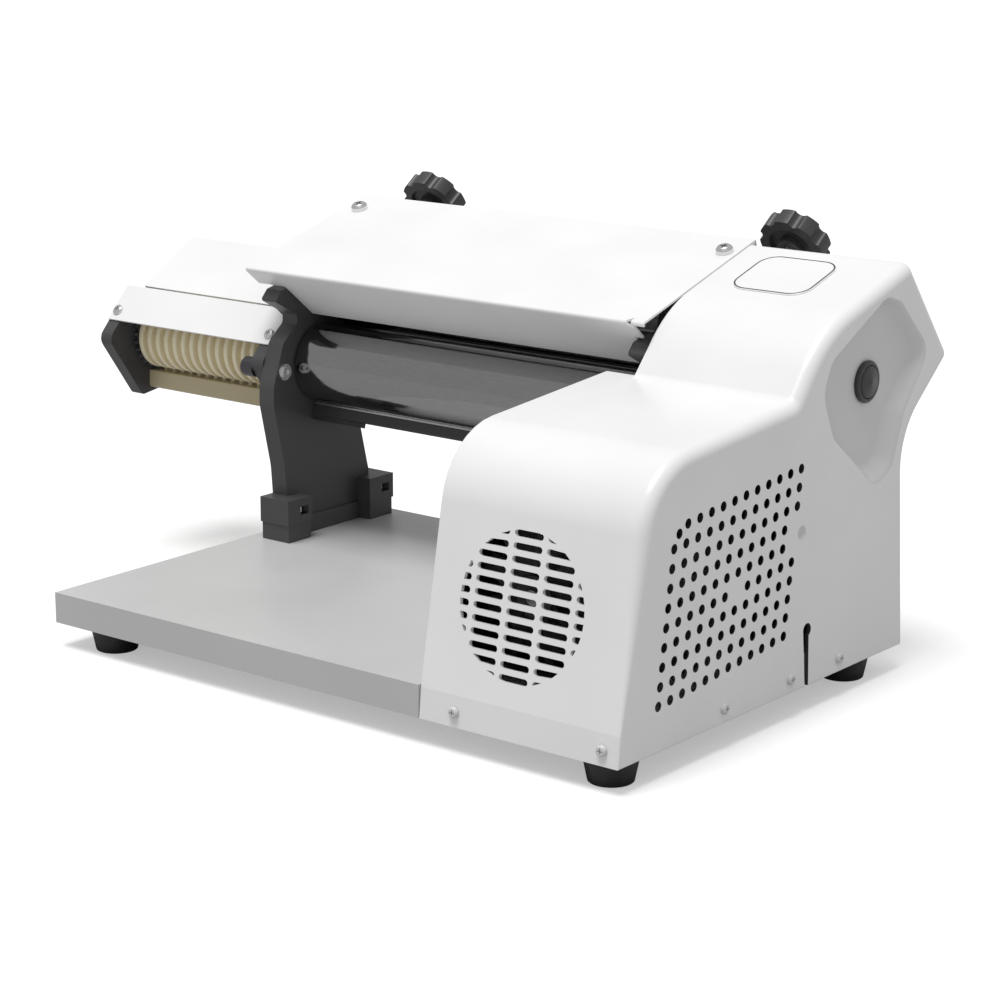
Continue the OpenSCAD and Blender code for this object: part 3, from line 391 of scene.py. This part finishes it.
# Pieces that look a little different from the rest of their slot; the cutter rings' lighter ivory is
# painted light
PAINT_OF = {"base_tray": "tray_paint", "scraper_bar": "inner_black", "cover_screws": "screw_paint",
            "cutter_front_roller": "ring_ivory_painted_light", "cutter_rear_roller": "ring_ivory_painted_light"}
for row in frame["record"]["subparts"]:
    data = frame["nodes"][row["node"]].data
    data.materials.clear()
    data.materials.append(MATERIALS[PAINT_OF.get(row["node"], row["material_slot"])])


# ---------------------------------------------------------------- housing
def smooth_step(t):
    t = min(max(t, 0), 1)
    return t * t * (3 - 2 * t)


def grille_tool():
    """Slots with round ends inside a circle, square to the leaning front."""
    bm = bmesh.new()
    half = (SLOT_W - SLOT_H) / 2
    for i in SLOT_COLUMNS:
        for k in SLOT_ROWS:
            x0, z0 = i * SLOT_STEP_X, (k + 0.5) * SLOT_STEP_Z
            ring = []
            for side, first in ((1, -90), (-1, 90)):
                for step in range(7):
                    a = math.radians(first + 30 * step)
                    ring.append((x0 + side * half + SLOT_H / 2 * math.cos(a),
                                 z0 + SLOT_H / 2 * math.sin(a)))
            ring = clip_to_circle(ring, GRILLE_R)
            if len(ring) > 2:
                loft([[(x, y, z) for x, z in ring] for y in (-8, 9)], bm)
    place = Matrix.Translation((GRILLE_X, FRONT_FOOT_Y, 0)) @ Matrix.Rotation(-LEAN, 4, "X") @ \
        Matrix.Translation((0, 0, GRILLE_Z / math.cos(LEAN)))
    bmesh.ops.transform(bm, matrix=place, verts=bm.verts)
    bmesh.ops.recalc_face_normals(bm, faces=bm.faces)
    return bm


def clip_to_circle(ring, radius):
    """The part of a convex ring inside a circle round the origin."""
    kept = []
    for (x0, z0), (x1, z1) in zip(ring, ring[1:] + ring[:1]):
        steps = 12
        for s in range(steps):
            x, z = x0 + (x1 - x0) * s / steps, z0 + (z1 - z0) * s / steps
            r = math.hypot(x, z)
            if r <= radius:
                if s == 0:
                    kept.append((x, z))
            else:
                nx, nz = x0 + (x1 - x0) * (s + 1) / steps, z0 + (z1 - z0) * (s + 1) / steps
                px, pz = x0 + (x1 - x0) * (s - 1) / steps, z0 + (z1 - z0) * (s - 1) / steps
                if math.hypot(nx, nz) <= radius or (s > 0 and math.hypot(px, pz) <= radius):
                    kept.append((x * radius / r, z * radius / r))
    if len(kept) < 3:
        return []
    width = max(p[0] for p in kept) - min(p[0] for p in kept)
    return kept if width > 0.6 else []


def side_holes():
    """Vents and screw holes of the housing's right wall."""
    bm = bmesh.new()
    for i in range(VENTS_ALONG):
        for k in range(VENTS_DOWN):
            y = VENT_ORIGIN[0] + (i - 1) * VENT_ALONG[0] + k * VENT_DOWN[0]
            z = VENT_ORIGIN[1] + (i - 1) * VENT_ALONG[1] + k * VENT_DOWN[1]
            if (i, k) == (0, 0):
                y, z = FIRST_VENT
            if (i, k) not in MISSING_VENTS:
                plain_prism(circle(y, z, VENT_R), BASE_L - CUT_IN, BASE_L + CUT_OUT, bm)
    for y in SIDE_SCREW_Y:
        plain_prism(circle(y, SCREW_Z, SCREW_HOLE_R), BASE_L - CUT_IN, BASE_L + CUT_OUT, bm)
    return bm


def cord_tool():
    """A round hole with a slot down to the housing's lower edge."""
    y, z = CORD_AT
    first, sweep, steps = -62, 258, 20
    ring = [Vector((y + CORD_HOLE_R * math.cos(a), z + CORD_HOLE_R * math.sin(a)))
            for a in (math.radians(first + sweep * i / steps) for i in range(steps + 1))]
    ring += [Vector((y + side, -5)) for side in CORD_SLOT]
    return plain_prism(ring, BASE_L - CUT_IN, BASE_L + CUT_OUT)


def recess_tool():
    """The hollow round the push button: a crisp step at the front, a broad soft slope behind."""
    outer, floor = rounded(RECESS_RIM), rounded(RECESS_FLOOR)
    depth = BASE_L - RECESS_X
    rings = [[(BASE_L + 2, p.x, p.y) for p in outer]]
    steps = 10
    for j in range(steps + 1):
        t = j / steps
        ring = [a.lerp(b, t) for a, b in zip(outer, floor)]
        rings.append([(BASE_L - depth * smooth_step(t) + 0.02, p.x, p.y) for p in ring])
    return loft(rings)


def dimple_tool():
    """A shallow round hollow with soft sides."""
    rings = []
    steps = 6
    for j in range(steps + 1):
        t = j / steps
        ring = circle(*DIMPLE_AT, DIMPLE_R + (DIMPLE_FLOOR_R - DIMPLE_R) * t)
        rings.append([(BASE_L - DIMPLE_DEPTH * smooth_step(t) + 0.02, p.x, p.y) for p in ring])
    return loft([[(BASE_L + 2, p[1], p[2]) for p in rings[0]]] + rings)


def front_rim(p):
    """The housing's right rim is full at the top and thins out to a sharp edge at the foot."""
    return 0.10 + 0.90 * smooth_step(p.y / 130)


def hood_left_rim(p):
    """The hood's left rim is rounded only where it stands clear of the front box and the tray."""
    return 0.0 if p.x < BOX_BACK + 1 or p.y < 30 else 1.0


def make_housing():
    """The moulded housing: hood and front box with rounded rims, hollowed and cut."""
    cover = new_object("housing", soft_prism(HOUSING, HOOD_X, BASE_L, 2.0, 9.0, hood_left_rim, front_rim))
    cover.data.materials.append(MATERIALS["housing_white"])
    front_box = soft_prism(FRONT_BOX, BOX_X, HOOD_X + 3, 2.0, 0.01,
                           lambda p: 0.3 + 0.7 * smooth_step(p.y / 60))
    combine(cover, front_box, "UNION", "housing_white")
    # The inside faces of the walls, the pad behind the hollow and the walls of the vents, screw holes and
    # cord slot are drawn near black as painted shade; the inside is the same white plastic
    for corners, x0, x1 in ((FRONT_BOX, BOX_X + WALL, HOOD_X + 4), (HOUSING, HOOD_X - 1, BASE_L - WALL)):
        cavity = [(y, -4 if z < 10 else z, r) for y, z, r in inset(corners, WALL)]
        combine(cover, plain_prism(rounded(cavity), x0, x1), "DIFFERENCE", "housing_painted_shade")
    # The side wall is thinner around the vent holes
    (y0, z0), (y1, z1) = THIN_LOW, THIN_HIGH
    thin = [Vector(p) for p in ((y0, z0), (y1, z0), (y1, z1), (y0, z1))]
    combine(cover, plain_prism(thin, BASE_L - WALL - 1, BASE_L - THIN_WALL), "DIFFERENCE",
            "housing_painted_shade")
    pad = plain_prism(rounded(inset(RECESS_RIM, -WALL)), RECESS_X - WALL, BASE_L - WALL + 0.5)
    combine(cover, pad, "UNION", "housing_painted_shade")
    switch_hole = plain_prism(circle(*SWITCH_AT, SWITCH_HOLE_R, 40), RECESS_X - 9, RECESS_X + 4)
    # The button hollow and the dimple take the darker white as painted shade; the housing itself is one
    # white throughout
    for tool, material in ((recess_tool(), "recess_painted_shade"), (dimple_tool(), "recess_painted_shade"),
                           (grille_tool(), "housing_white"), (side_holes(), "housing_painted_shade"),
                           (cord_tool(), "housing_painted_shade"), (switch_hole, "housing_white"),
                           (tray_notch(), "housing_white")):
        combine(cover, tool, "DIFFERENCE", material)
    cover.data.transform(TO_ROW)
    return finish_piece(cover, "housing_white", "housing_white", "machine_frame", "cover", angle=28)


def tray_notch():
    """Where the housing's left walls stand on the tray."""
    bm = bmesh.new()
    back = BOX_BACK + 1
    for y, x0, x1 in ((5.1, BOX_X - 2, BOX_X + WALL + 0.1),
                      (BOX_BACK - WALL - 0.1, BOX_X + WALL + 0.1, HOOD_X + 0.05)):
        plain_prism([Vector(p) for p in ((y, -6), (y, SKIRT_H), (back, SKIRT_H), (back, -6))], x0, x1, bm)
    return bm


def make_nameplate():
    """A plain plate on the hood with a thin dark line near its edge."""
    (y0, z0, _), (y1, z1, _) = HOUSING[4:6]
    slope = math.atan2(z1 - z0, y1 - y0)
    place = TO_ROW @ Matrix.Translation((PLATE_X, y0, z0)) @ Matrix.Rotation(slope, 4, "X") @ \
        Matrix.Translation((0, PLATE_UP_SLOPE, 0))
    plate = bmesh.new()
    levels = ((0, 0), (0, 0.7), (0.3, 0.98), (0.7, 1.1))
    loft([[(p.x, p.y, z) for p in rounded(inset(PLATE_OUTLINE, depth))] for depth, z in levels], plate)
    made = new_object("plate_face", plate)
    made.data.transform(place)
    finish_piece(made, "plate_silver", "plate_silver", "machine_frame", "nameplate")
    line = bmesh.new()
    outer, inner = rounded(inset(PLATE_OUTLINE, 0.5)), rounded(inset(PLATE_OUTLINE, 1.7))
    rings = [[(p.x, p.y, z) for p in ring] for ring, z in
             ((outer, 0.9), (outer, 1.16), (inner, 1.16), (inner, 0.9))]
    rows = [[line.verts.new(p) for p in ring] for ring in rings]
    for a, b in zip(rows, rows[1:] + rows[:1]):
        for i in range(len(a)):
            j = (i + 1) % len(a)
            line.faces.new((a[i], a[j], b[j], b[i]))
    bmesh.ops.recalc_face_normals(line, faces=line.faces)
    made = new_object("plate_line", line)
    made.data.transform(place)
    finish_piece(made, "plate_line", "plate_silver", "machine_frame")


# ---------------------------------------------------------------- softened metal work
SOFT = {"base_tray": 1.2, "left_stand": 1.3, "right_stand": 1.3, "left_foot_rail": 1.0,
        "right_foot_rail": 1.0, "cutter_left_plate": 1.2, "cutter_right_plate": 1.2, "top_guard": 0.35,
        "cutter_feed_plates": 0.3, "scraper_bar": 0.5, "left_knob": 1.3, "right_knob": 1.3, "feet": 0.8,
        "cutter_clamp_nuts": 0.8, "cutter_combs": 0.5, "switch_bezel": 0.4, "capacitor": 1.5,
        "terminal_block": 0.8}


def soften_all():
    """Gives every listed CAD node a stand-in with bevelled edges."""
    for node, width in SOFT.items():
        softened(node, width)


# ---------------------------------------------------------------- studio
SEEN_FLOOR, UNSEEN_FLOOR, FLOOR_GLOW = 0.62, 0.44, 0.40
SEEN_SKY, UNSEEN_SKY = 1.0, 0.52
SUN_ENERGY, SUN_ANGLE, SUN_TILT, SUN_TURN = 2.4, 28, 13, -8


def camera_only(nodes, links, seen, unseen, output):
    """Shows one shader to the camera and another to all light paths."""
    path = nodes.new("ShaderNodeLightPath")
    mix = nodes.new("ShaderNodeMixShader")
    links.new(path.outputs["Is Camera Ray"], mix.inputs["Fac"])
    links.new(unseen.outputs[0], mix.inputs[1])
    links.new(seen.outputs[0], mix.inputs[2])
    links.new(mix.outputs[0], output.inputs["Surface"])


def make_floor():
    """A wide white floor; the camera sees it lit a little from within, so that it stays pale."""
    side = 30
    mesh = bpy.data.meshes.new("studio_floor")
    corners = [(-side, -side, 0), (side, -side, 0), (side, side, 0), (-side, side, 0)]
    mesh.from_pydata(corners, [], [(0, 1, 2, 3)])
    floor = bpy.data.objects.new("studio_floor", mesh)
    bpy.context.collection.objects.link(floor)
    mat = bpy.data.materials.new("floor_white")
    mat.use_nodes = True
    nodes, links = mat.node_tree.nodes, mat.node_tree.links
    nodes.remove(nodes["Principled BSDF"])
    shaders = []
    for level in (SEEN_FLOOR, UNSEEN_FLOOR):
        diffuse = nodes.new("ShaderNodeBsdfDiffuse")
        diffuse.inputs["Color"].default_value = (level, level, level, 1)
        shaders.append(diffuse)
    glow = nodes.new("ShaderNodeEmission")
    glow.inputs["Strength"].default_value = FLOOR_GLOW
    lit = nodes.new("ShaderNodeAddShader")
    links.new(shaders[0].outputs[0], lit.inputs[0])
    links.new(glow.outputs[0], lit.inputs[1])
    camera_only(nodes, links, lit, shaders[1], nodes["Material Output"])
    floor.data.materials.append(mat)


def make_lights():
    """A white backdrop, an even dimmer light all round, and one soft sun from above and in front."""
    world = bpy.data.worlds.new("studio_world")
    world.use_nodes = True
    nodes, links = world.node_tree.nodes, world.node_tree.links
    backdrops = []
    for strength in (SEEN_SKY, UNSEEN_SKY):
        backdrop = nodes.new("ShaderNodeBackground")
        backdrop.inputs["Color"].default_value = (1, 1, 1, 1)
        backdrop.inputs["Strength"].default_value = strength
        backdrops.append(backdrop)
    camera_only(nodes, links, backdrops[0], backdrops[1], nodes["World Output"])
    bpy.context.scene.world = world
    light = bpy.data.lights.new("high_front", "SUN")
    light.energy, light.angle = SUN_ENERGY, math.radians(SUN_ANGLE)
    lamp = bpy.data.objects.new("high_front", light)
    lamp.rotation_euler = (math.radians(SUN_TILT), 0, math.radians(SUN_TURN))
    bpy.context.collection.objects.link(lamp)


def make_camera():
    """The view of the photograph: azimuth and elevation in degrees, place in millimetres."""
    azimuth, elevation = 38.663, 14.198
    place = Vector((1420.232, -1265.073, 564.924))
    camera = bpy.data.cameras.new("photo_view")
    camera.lens, camera.sensor_width = 98.1, 36
    camera.clip_end = 50
    body = bpy.data.objects.new("photo_view", camera)
    body.location = TO_ROW @ place
    body.rotation_euler = (math.radians(90 - elevation), 0, math.radians(azimuth))
    bpy.context.collection.objects.link(body)
    bpy.context.scene.camera = body


make_housing()
make_nameplate()
soften_all()
bpy.context.scene.view_settings.view_transform = "Standard"
make_camera()
make_lights()
make_floor()
